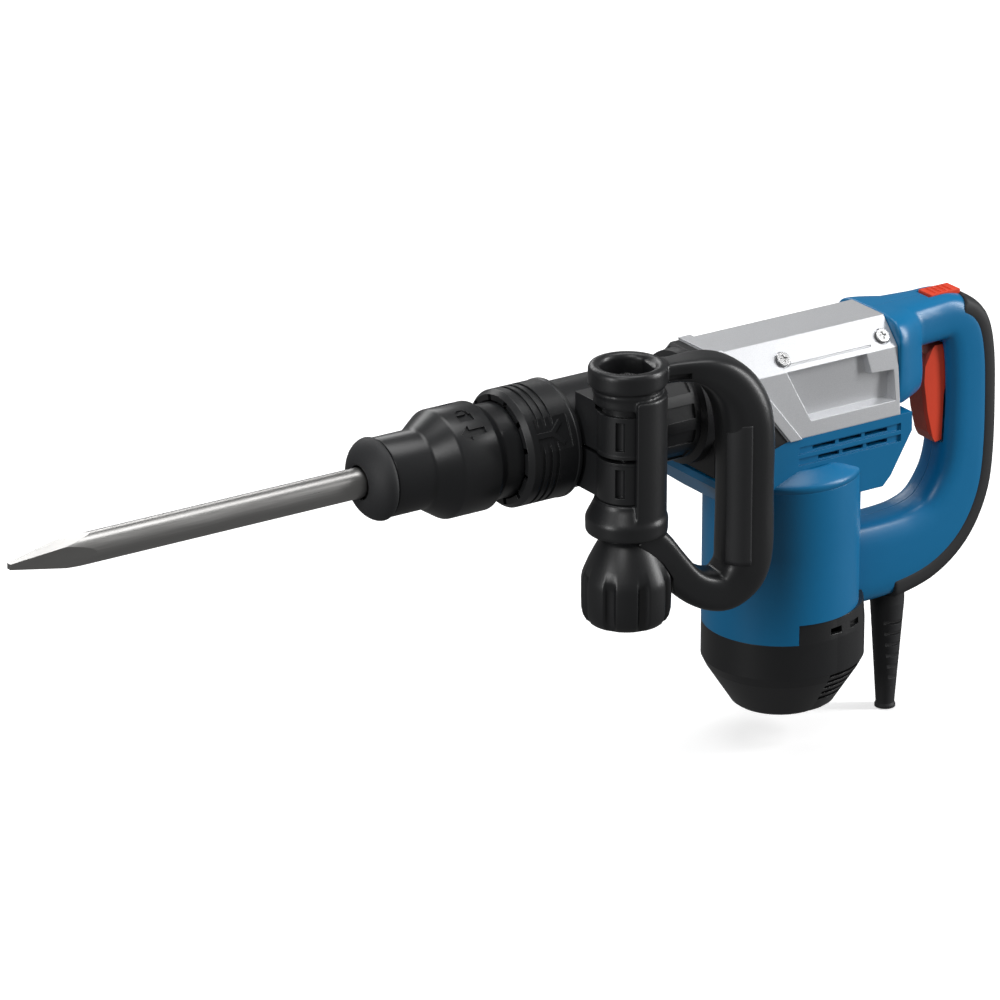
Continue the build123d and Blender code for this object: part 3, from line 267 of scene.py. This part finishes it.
def squared(value, squareness):
    """Pushes a sine or cosine outwards, so a circle becomes a rounded square."""
    return abs(value) ** (2.0 / squareness) * (1 if value >= 0 else -1)


def eased(stations, steps):
    """Stations on a smooth curve through the given ones, each with its heading added."""
    rows = [Vector(row) for row in stations]
    path = []
    for number in range(len(rows) - 1):
        before = rows[max(number - 1, 0)]
        start, end = rows[number], rows[number + 1]
        after = rows[min(number + 2, len(rows) - 1)]
        for step in range(steps + (number == len(rows) - 2)):
            t = step / steps
            path.append((start * 2 + (end - before) * t
                         + (before * 2 - start * 5 + end * 4 - after) * t ** 2
                         + (start * 3 - before - end * 3 + after) * t ** 3) * 0.5)
    headings = []
    for number in range(len(path)):
        step = path[min(number + 1, len(path) - 1)] - path[max(number - 1, 0)]
        headings.append(Vector((step[0], step[1])).normalized())
    return list(zip(path, headings))


def limb(shape, place, stations, sides=40, steps=5):
    """Extrudes a ring of edges along eased stations and closes both ends.

    A station is (along, height, half thickness, half depth, squareness), in millimetres
    in the plane that place puts in the hammer."""
    ring = bmesh.ops.create_circle(shape, segments=sides, radius=1.0)["verts"]
    turns = [(v.co.x, v.co.y) for v in ring]
    first = ring
    for number, (station, heading) in enumerate(eased(stations, steps)):
        along, height, thick, deep, squareness = station
        if number:
            edges = [e for v in ring for e in v.link_edges if e.other_vert(v) in ring]
            made = bmesh.ops.extrude_edge_only(shape, edges=list(set(edges)))["geom"]
            fresh = {}
            for vert in made:
                if isinstance(vert, bmesh.types.BMVert):
                    fresh[vert.co.to_tuple(7)] = vert
            ring = [fresh[v.co.to_tuple(7)] for v in ring]
        across = Vector((-heading.y, 0.0, heading.x))
        for vert, (cosine, sine) in zip(ring, turns):
            spot = Vector((along, 0.0, height)) + across * (thick * squared(cosine, squareness))
            spot.y = deep * squared(sine, squareness)
            vert.co = place @ (spot * MM)
    bmesh.ops.contextual_create(shape, geom=first)
    bmesh.ops.contextual_create(shape, geom=ring)


def skin_patch(shape, place, stations, angles, proud=0.5, sunk=1.0, count=18, steps=10):
    """A thin closed panel that follows part of a limb's surface between two angles."""
    rows = []
    for (along, height, thick, deep, squareness), heading in eased(stations, steps):
        across = Vector((-heading.y, 0.0, heading.x))
        row = []
        for grow, order in ((proud, range(count + 1)), (-sunk, range(count, -1, -1))):
            for number in order:
                angle = angles[0] + (angles[1] - angles[0]) * number / count
                reach = (thick + grow) * squared(cos(angle), squareness)
                spot = Vector((along, 0.0, height)) + across * reach
                spot.y = (deep + grow) * squared(sin(angle), squareness)
                row.append(shape.verts.new(place @ (spot * MM)))
        rows.append(row)
    for upper, lower in zip(rows, rows[1:]):
        for number in range(len(upper)):
            after = (number + 1) % len(upper)
            shape.faces.new((upper[number], upper[after], lower[after], lower[number]))
    shape.faces.new(rows[0])
    shape.faces.new(rows[-1])


def turned_form(shape, outline, centre, steps=96):
    """Spins a closed outline of (radius, height) in millimetres about a vertical axis."""
    spots = [Vector((centre[0] + r * MM, centre[1], z * MM)) for r, z in outline]
    verts = [shape.verts.new(spot) for spot in spots]
    edges = [shape.edges.new(pair) for pair in zip(verts, verts[1:] + verts[:1])]
    bmesh.ops.spin(shape, geom=verts + edges, cent=(centre[0], centre[1], 0.0),
                   axis=(0.0, 0.0, 1.0), angle=2 * pi, steps=steps, use_merge=True)


def smooth_faces(mesh):
    """Shades every face smooth."""
    for face in mesh.polygons:
        face.use_smooth = True


def keep(name, shape, body, finish, node_names=()):
    """Turns a bmesh into a finished piece that rides on a body."""
    bmesh.ops.recalc_face_normals(shape, faces=shape.faces)
    mesh = bpy.data.meshes.new(name)
    shape.to_mesh(mesh)
    shape.free()
    smooth_faces(mesh)
    piece = bpy.data.objects.new(name, mesh)
    bpy.context.scene.collection.objects.link(piece)
    mesh.materials.append(finish)
    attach(piece, body)
    if node_names:
        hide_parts(*node_names)
    print(name, "faces:", len(mesh.polygons))
    return piece


def fused(shape, voxel, rounds):
    """Remeshes overlapping closed forms into one skin and smooths its creases."""
    bmesh.ops.recalc_face_normals(shape, faces=shape.faces)
    mesh = bpy.data.meshes.new("form")
    shape.to_mesh(mesh)
    shape.free()
    form = bpy.data.objects.new("form", mesh)
    bpy.context.scene.collection.objects.link(form)
    remesh = form.modifiers.new("fuse", "REMESH")
    remesh.mode = "VOXEL"
    remesh.voxel_size = voxel
    remesh.adaptivity = 0.0
    skin = bmesh.new()
    skin.from_object(form, bpy.context.evaluated_depsgraph_get())
    bpy.data.objects.remove(form)
    for _ in range(rounds):
        bmesh.ops.smooth_vert(skin, verts=skin.verts, factor=0.5, use_axis_x=True,
                              use_axis_y=True, use_axis_z=True)
    return skin


def cut_away(piece, cutters):
    """Cuts sharp-edged pockets out of a piece with closed cutter shapes."""
    for shape in cutters:
        mesh = bpy.data.meshes.new("cutter")
        bmesh.ops.recalc_face_normals(shape, faces=shape.faces)
        shape.to_mesh(mesh)
        shape.free()
        cutter = bpy.data.objects.new("cutter", mesh)
        bpy.context.scene.collection.objects.link(cutter)
        pocket = piece.modifiers.new("pocket", "BOOLEAN")
        pocket.operation = "DIFFERENCE"
        pocket.object = cutter
        pocket.solver = "EXACT"
        result = bmesh.new()
        result.from_object(piece, bpy.context.evaluated_depsgraph_get())
        piece.modifiers.clear()
        result.to_mesh(piece.data)
        result.free()
        bpy.data.objects.remove(cutter)


def brick(low, high):
    """A box between two corners given in millimetres."""
    shape = bmesh.new()
    bmesh.ops.create_cube(shape, size=1.0)
    size = [(b - a) * MM for a, b in zip(low, high)]
    middle = [(a + b) / 2 * MM for a, b in zip(low, high)]
    bmesh.ops.scale(shape, vec=size, verts=shape.verts)
    bmesh.ops.translate(shape, vec=middle, verts=shape.verts)
    return shape


# %% [markdown]
# ## Side handle
# The side handle is one glass-filled moulding: a head that holds the clamp bolt, a foot on
# the knob, a half tube between them that hugs the clamp, and the grip that swings out from
# both.  Its arms flow into the grip without an edge, so it is made of limbs and fused.

# %% Side handle
post_low, post_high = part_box("clamp_bolt")
post = Vector(((post_low[0] + post_high[0]) / 2, (post_low[1] + post_high[1]) / 2, 0.0))
loop_swing = radians(-10.0)
loop_place = Matrix.Translation(post) @ Matrix.Rotation(loop_swing, 4, "Z")
loop = bmesh.new()
limb(loop, loop_place, [
    (14, 51, 6.5, 8.5, 5), (28, 51.8, 6.2, 8.8, 5), (40, 51.2, 7.4, 11, 4.6),
    (50, 49, 9.6, 13.5, 4.0), (60, 43.5, 12.6, 15.5, 3.2), (69, 34, 15, 16.6, 2.7),
    (75, 20, 16.6, 17.2, 2.6), (77.2, 2, 17, 17.2, 2.5), (77.4, -30, 16.6, 16.8, 2.5),
    (77.4, -62, 17, 17.1, 2.5), (75.8, -78, 16, 16.8, 2.6), (70, -87, 14.3, 15.6, 3.2),
    (61, -92, 12.4, 14.8, 3.8), (49, -90, 11.2, 14.4, 4.4), (37, -82.5, 10.8, 14.8, 4.8),
    (25, -69, 11.2, 16.0, 5.0), (14, -55, 11.5, 17.4, 5.0), (6, -45, 9.0, 17.4, 5.0),
])
turned_form(loop, [(5.2, 36.5), (20.4, 36.5), (20.6, 43.0), (21.6, 43.8), (21.8, 44.6),
                   (21.0, 45.4), (21.2, 46.6), (23.4, 47.6), (23.6, 48.6), (23.6, 57.4),
                   (22.8, 59.2), (21.4, 59.9), (18.8, 59.9), (17.2, 58.8), (16.4, 57.0),
                   (16.2, 44.7), (5.2, 44.7)], post)
turned_form(loop, [(5.2, -45.9), (22.4, -45.9), (24.6, -44.4), (24.8, -36.4), (24.2, -34.6),
                   (19.8, -26.0), (19.4, -23.5), (5.2, -23.5)], post)
leg_start, leg_end = radians(-110.0), radians(24.0)
leg_outline = [(19.0, -34.0), (23.8, -34.0), (23.8, 42.0), (19.0, 42.0)]
leg = [loop.verts.new(post + Vector((r * MM * cos(leg_start), r * MM * sin(leg_start), z * MM)))
       for r, z in leg_outline]
leg_face = loop.faces.new(leg)
bmesh.ops.spin(loop, geom=[leg_face], cent=post, axis=(0.0, 0.0, 1.0),
               angle=leg_end - leg_start, steps=40)
side_handle = keep("side_handle_moulding", fused(loop, voxel=0.0008, rounds=3), "side_handle",
                   black_plastic, ["side_handle"])


def in_loop(shape):
    """Moves a shape from the loop's own plane into the hammer."""
    bmesh.ops.transform(shape, matrix=loop_place, verts=shape.verts)
    return shape


knob_room = bmesh.new()
turned_form(knob_room, [(0.05, -110.0), (28.2, -110.0), (28.2, -74.5), (23.5, -64.0),
                        (17.0, -54.0), (15.0, -46.2), (0.05, -46.2)], post)
arm_pocket = in_loop(brick((23, -13, 47.8), (37, -7.0, 51.4)))
cut_away(side_handle, [knob_room, arm_pocket])

pad_angles = (radians(-157), radians(-97))
pad = bmesh.new()
skin_patch(pad, loop_place, [
    (77.2, 15, 17, 17.2, 2.5), (77.3, 0, 17, 17.2, 2.5), (77.4, -30, 16.6, 16.8, 2.5),
    (77.4, -74, 16.9, 17.1, 2.5),
], pad_angles)
keep("side_grip_pad", pad, "side_handle", rubber)

# %% [markdown]
# ## Knob of the side handle
# The knob is turned by hand, so eight flutes give the fingers a hold.  Its outline is a
# dome on a cylinder, as (radius, height, share), where the share says how much of a flute's
# full depth is pressed in at that height.  The flutes run out in the dome, as the draft of a
# mould makes them do.

# %% Knob
knob = bmesh.new()
knob_outline = [
    (8.0, -50.0, 0), (12.6, -46.8, 0), (14.4, -47.6, 0), (16.6, -51.4, 0), (20.0, -57.6, 0),
    (23.2, -64.2, 0), (25.4, -69.6, 0.05), (26.5, -72.6, 0.5), (26.9, -75.0, 0.9),
    (27.0, -77.0, 1.0), (27.0, -86.0, 1.0), (26.8, -94.0, 1.0), (26.0, -97.8, 0.9),
    (24.4, -100.6, 0.45), (22.4, -102.2, 0.1), (19.5, -102.8, 0), (8.0, -102.8, 0),
]
flutes = 8
flute_depth = 3.6
flute_reach = 0.19
lobe_steps = 26
knob_turn = radians(236.0)
rows = []
for radius, height, share in knob_outline:
    row = []
    for number in range(lobe_steps * flutes):
        angle = knob_turn + 2 * pi * (number + lobe_steps / 2) / (lobe_steps * flutes)
        from_groove = min(number % lobe_steps, lobe_steps - number % lobe_steps) / lobe_steps
        pressed = max(0.0, 1.0 - (from_groove / flute_reach) ** 4)
        reach = radius - flute_depth * share * pressed
        row.append(knob.verts.new(post + Vector((reach * cos(angle), reach * sin(angle),
                                                 height)) * MM))
    rows.append(row)
for upper, lower in zip(rows, rows[1:] + rows[:1]):
    for number in range(len(upper)):
        after = (number + 1) % len(upper)
        knob.faces.new((upper[number], upper[after], lower[after], lower[number]))
keep("knob_moulding", knob, "knob", black_plastic, ["handle_knob"])

# %% [markdown]
# ## Dust cap and locking sleeve
# The dust cap is a soft rubber dome that keeps grit out of the holder, and the sleeve
# behind it is drawn back to free the chisel.  Both are turned forms, so a closed outline is
# spun about the tool axis.  The lock and arrow signs are sunk into the sleeve afterwards.

# %% Dust cap and sleeve
def turned_x(shape, outline, steps=128):
    """Spins a closed outline of (x, radius) in millimetres about the tool axis."""
    verts = [shape.verts.new((x * MM, 0.0, r * MM)) for x, r in outline]
    edges = [shape.edges.new(pair) for pair in zip(verts, verts[1:] + verts[:1])]
    bmesh.ops.spin(shape, geom=verts + edges, cent=(0.0, 0.0, 0.0), axis=(1.0, 0.0, 0.0),
                   angle=2 * pi, steps=steps, use_merge=True)


def sharpen(piece, limit=26.0):
    """Keeps the edges crisp where two faces meet at more than an angle."""
    piece.data.set_sharp_from_angle(angle=radians(limit))


cap = bmesh.new()
turned_x(cap, [
    (0.2, 10.4), (0.0, 11.2), (0.0, 12.6), (0.4, 14.4), (1.2, 16.6), (2.4, 18.9), (3.9, 21.0),
    (5.6, 22.8), (7.4, 24.1), (9.2, 24.9), (10.6, 25.2), (11.6, 25.1), (12.4, 24.6),
    (12.9, 23.8), (13.0, 18.2), (11.0, 15.3), (6.0, 13.4), (1.6, 10.4),
])
keep("dust_cap_moulding", cap, "holder", rubber, ["dust_cap"])

sleeve = bmesh.new()
turned_x(sleeve, [
    (13.4, 23.0), (13.8, 23.8), (14.6, 24.1), (38.2, 24.1), (39.6, 24.3), (40.6, 24.9),
    (52.4, 32.5), (53.4, 33.0), (54.6, 33.2), (79.0, 33.2), (79.8, 33.0), (80.6, 32.4),
    (84.8, 29.5), (85.6, 29.1), (86.6, 29.0), (97.8, 29.0), (98.4, 28.4), (98.4, 27.3),
    (84.0, 27.3), (78.6, 30.8), (55.0, 30.8), (40.0, 21.7), (13.4, 21.7),
])
sleeve_r = 33.2
sleeve = keep("locking_sleeve_moulding", sleeve, "sleeve", gloss_black,
              ["locking_sleeve"])


SIGN_CLEAR = 4.0


def sign(outline, along, turn, radius, depth):
    """A closed cutter with a flat outline, standing on a turned part and clear above it."""
    shape = bmesh.new()
    verts = [shape.verts.new((u * MM, v * MM, (radius - depth) * MM)) for u, v in outline]
    face = shape.faces.new(verts)
    raised = bmesh.ops.extrude_face_region(shape, geom=[face])["geom"]
    tops = [v for v in raised if isinstance(v, bmesh.types.BMVert)]
    bmesh.ops.translate(shape, vec=(0.0, 0.0, (depth + SIGN_CLEAR) * MM), verts=tops)
    standing = Matrix.Translation((along * MM, 0.0, 0.0)) @ Matrix.Rotation(radians(turn), 4, "X")
    bmesh.ops.transform(shape, matrix=standing, verts=shape.verts)
    return shape


arrow = [(-9, 0), (-2.5, 5.0), (-2.5, 2.0), (8.0, 2.0), (8.0, -2.0), (-2.5, -2.0), (-2.5, -5.0)]
padlock = [(-4.8, -4.4), (4.8, -4.4), (4.8, 1.4), (3.6, 1.4), (3.6, 4.0), (2.0, 5.8),
           (-2.0, 5.8), (-3.6, 4.0), (-3.6, 2.4), (-1.8, 2.4), (-1.8, 3.4), (-0.9, 4.2),
           (0.9, 4.2), (1.8, 3.4), (1.8, 1.4), (-4.8, 1.4)]
sign_x = 66.5
sign_depth = 1.5
signs = []
for side in (-1, 1):
    for outline, turn in ((arrow, 42), (padlock, 20)):
        signs.append(sign(outline, sign_x, side * turn, sleeve_r, sign_depth))
cut_away(sleeve, signs)
sharpen(sleeve)

# %% [markdown]
# ## Shoulder of the motor housing
# The round motor housing is wider than the gearbox above it.  On the moulding a sloping
# shoulder leads from one to the other, so that no shelf is left where dust could lie.  It
# is a thin spun skin that sits on the rim of the motor housing.

# %% Motor shoulder
shaft_low, shaft_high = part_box("armature_shaft")
motor_axis = Vector(((shaft_low[0] + shaft_high[0]) / 2, 0.0, 0.0))
shoulder = bmesh.new()
turned_form(shoulder, [
    (47.9, -56.6), (48.45, -56.4), (48.45, -53.2), (48.2, -52.2), (47.4, -51.3),
    (45.6, -50.1), (38.2, -44.6), (37.0, -44.2), (36.4, -44.9), (42.2, -49.4), (46.8, -53.6),
], motor_axis, steps=128)
keep("motor_shoulder", shoulder, "housing", blue_plastic)

# %% [markdown]
# ## Rear handle
# The rear handle is two blue shells that meet in the middle plane.  Both are cut from one
# fused form, so that their outlines agree, and a hair of space is left for the joint line.
# Pockets for the trigger and the lock-on slider are cut afterwards with sharp edges.

# %% Rear handle
level = Matrix.Identity(4)
grip_path = [
    (384, 20.6, 14.6, 21, 4), (410, 20.6, 14.5, 18, 3.6), (427, 20.0, 15.0, 17.2, 3.4),
    (436.5, 11, 17.4, 16.8, 3.2), (440.8, -8, 18.2, 16.6, 3.1), (442, -40, 18.6, 16.4, 3.0),
    (440.8, -72, 19.2, 16.6, 3.1), (435.5, -94, 21.0, 17.0, 3.3), (423, -113, 23.0, 17.4, 3.5),
    (404, -124, 25.2, 17.8, 3.8), (380, -128, 26.4, 18.0, 4.2), (345, -128, 26.8, 18.0, 4.4),
]
root_path = [
    (370.4, 5.6, 29.4, 33.6, 5), (379, 5.6, 29.4, 32.0, 4.6), (390, 5.8, 29.2, 26.0, 4),
    (396.8, 6.2, 28.6, 21.5, 3.8),
]
handle_form = bmesh.new()
limb(handle_form, level, grip_path)
limb(handle_form, level, root_path)
handle_skin = fused(handle_form, voxel=0.0011, rounds=5)
joint_gap = 0.24
trigger_pocket = ((402, -9, -62.5), (428, 9, 4.5))
slider_pocket = ((411.5, -7.1, 33.0), (437, 7.1, 40))
motor_hole_r = 48.6
motor_hole_z = (-225.0, -25.0)


def rear_shell(name, side, node):
    """One half of the rear handle, cut from the fused form at the middle plane."""
    half = handle_skin.copy()
    cut = bmesh.ops.bisect_plane(half, geom=half.verts[:] + half.edges[:] + half.faces[:],
                                 plane_co=(0.0, side * joint_gap / 2 * MM, 0.0),
                                 plane_no=(0.0, side, 0.0), clear_inner=True)
    rim = [e for e in cut["geom_cut"] if isinstance(e, bmesh.types.BMEdge)]
    bmesh.ops.holes_fill(half, edges=rim, sides=0)
    piece = keep(name, half, "housing", blue_plastic, [node])
    low, high = (z * MM for z in motor_hole_z)
    motor_hole = bmesh.new()
    bmesh.ops.create_cone(motor_hole, cap_ends=True, segments=96, radius1=motor_hole_r * MM,
                          radius2=motor_hole_r * MM, depth=high - low)
    bmesh.ops.translate(motor_hole, vec=(motor_axis.x, 0.0, (low + high) / 2),
                        verts=motor_hole.verts)
    cut_away(piece, [brick(*trigger_pocket), brick(*slider_pocket), motor_hole])
    smooth_faces(piece.data)


rear_shell("rear_handle_left", -1, "handle_shell_left")
rear_shell("rear_handle_right", 1, "handle_shell_right")
handle_skin.free()

# %% [markdown]
# ## Rear grip rubber
# The rear of the handle is covered with soft rubber that is moulded onto the shells.  It
# follows the same stations as the grip.  Each one is moved outwards and made thinner, so
# that the rubber stands a little proud of the shells at the back and not at the sides.

# %% Rear grip rubber
rubber_half = 8.2
rubber_inset = 6.6
rubber_side_gap = 0.1
rubber_path = []
for (along, height, thick, deep, squareness), heading in eased(grip_path[2:-1], 3):
    outward = Vector((-heading.y, heading.x)) * (thick - rubber_inset)
    rubber_path.append((along + outward.x, height + outward.y, rubber_half,
                        deep - rubber_side_gap, squareness))
grip_rubber = bmesh.new()
limb(grip_rubber, level, rubber_path, steps=2)
keep("rear_grip_overmould", fused(grip_rubber, voxel=0.001, rounds=3), "housing", rubber,
     ["rear_grip_rubber"])


# %% [markdown]
# ## Camera
# The hammer is seen from its front left and a little above, from four metres with a long
# lens, which keeps the far handle almost as large as the near chisel.

# %% Camera
azimuth = radians(-33.85)
tilt = radians(21.40)
distance = 4.0816
middle_x = 0.134
shift_right, shift_up = 0.0286, 0.0374
back = Vector((sin(azimuth) * cos(tilt), -cos(azimuth) * cos(tilt), sin(tilt)))
right = Vector((cos(azimuth), sin(azimuth), 0.0))
up = back.cross(right)
aim = Vector((middle_x, 0.0, 0.0)) - right * shift_right - up * shift_up
camera = bpy.data.objects.new("camera", bpy.data.cameras.new("camera"))
bpy.context.scene.collection.objects.link(camera)
camera.data.sensor_width = 36.0
camera.data.lens = 246.9
camera.data.clip_end = 50.0
turned = Matrix((right, up, back)).transposed()
camera.matrix_world = Matrix.Translation(aim + back * distance) @ turned.to_4x4()
bpy.context.scene.camera = camera


# %% [markdown]
# ## Floor and studio light
# A pale floor and five large windows of light give the soft shadows and the long highlights
# of a product studio: one above, and four around the hammer.  The room is white where the
# camera looks straight at it, but it lights the hammer only faintly, so the black plastics
# keep their depth and the blue keeps its colour.

# %% Floor and lights
stage_x = 0.15
floor_gap = 0.0005
floor_half = 6.0
floor_z = cad_box[0][2] - floor_gap
mesh = bpy.data.meshes.new("floor")
shape = bmesh.new()
bmesh.ops.create_grid(shape, x_segments=2, y_segments=2, size=floor_half)
bmesh.ops.translate(shape, vec=(stage_x, 0.0, floor_z), verts=shape.verts)
shape.to_mesh(mesh)
shape.free()
floor = bpy.data.objects.new("floor", mesh)
bpy.context.scene.collection.objects.link(floor)
floor_graph = Graph("pale_floor")
floor_tone = floor_graph.mix(floor_graph.noise(2.0), (0.93, 0.93, 0.93), (0.95, 0.95, 0.95))
floor.data.materials.append(floor_graph.finish(
    Base_Color=floor_tone, Roughness=0.9, Emission_Color=(1.0, 1.0, 1.0),
    Emission_Strength=0.45))
floor.visible_diffuse = False
floor.visible_glossy = False


def window(name, place, target, size, power):
    """A rectangular studio light that faces a point."""
    light = bpy.data.lights.new(name, "AREA")
    light.shape = "RECTANGLE"
    light.size = size[0]
    light.size_y = size[1]
    light.energy = power
    lamp = bpy.data.objects.new(name, light)
    lamp.location = place
    facing = Vector(place) - Vector(target)
    lamp.rotation_euler = facing.to_track_quat("Z", "Y").to_euler()
    bpy.context.scene.collection.objects.link(lamp)


centre = (stage_x, 0.0, -0.05)
window("key_light", (-1.3, -1.2, 1.7), centre, (0.9, 0.9), 15.0)
window("top_light", (0.3, 0.2, 2.0), centre, (1.8, 1.0), 22.0)
window("side_light", (1.9, -1.0, 0.6), centre, (0.40, 1.8), 36.0)
window("rim_light", (0.4, 1.9, 1.0), centre, (1.6, 0.6), 12.0)
window("front_light", (-2.0, -0.35, 0.25), centre, (0.5, 0.9), 16.0)
backdrop_strength = 1.0
room_strength = 0.16
world = bpy.data.worlds.new("studio")
world.use_nodes = True
seen_white = world.node_tree.nodes.new("ShaderNodeLightPath").outputs["Is Camera Ray"]
strength = world.node_tree.nodes.new("ShaderNodeMapRange")
strength.inputs["To Min"].default_value = room_strength
strength.inputs["To Max"].default_value = backdrop_strength
world.node_tree.links.new(seen_white, strength.inputs["Value"])
sky = world.node_tree.nodes["Background"]
sky.inputs["Color"].default_value = (1.0, 1.0, 1.0, 1.0)
world.node_tree.links.new(strength.outputs["Result"], sky.inputs["Strength"])
bpy.context.scene.world = world
bpy.context.scene.view_settings.view_transform = "Standard"
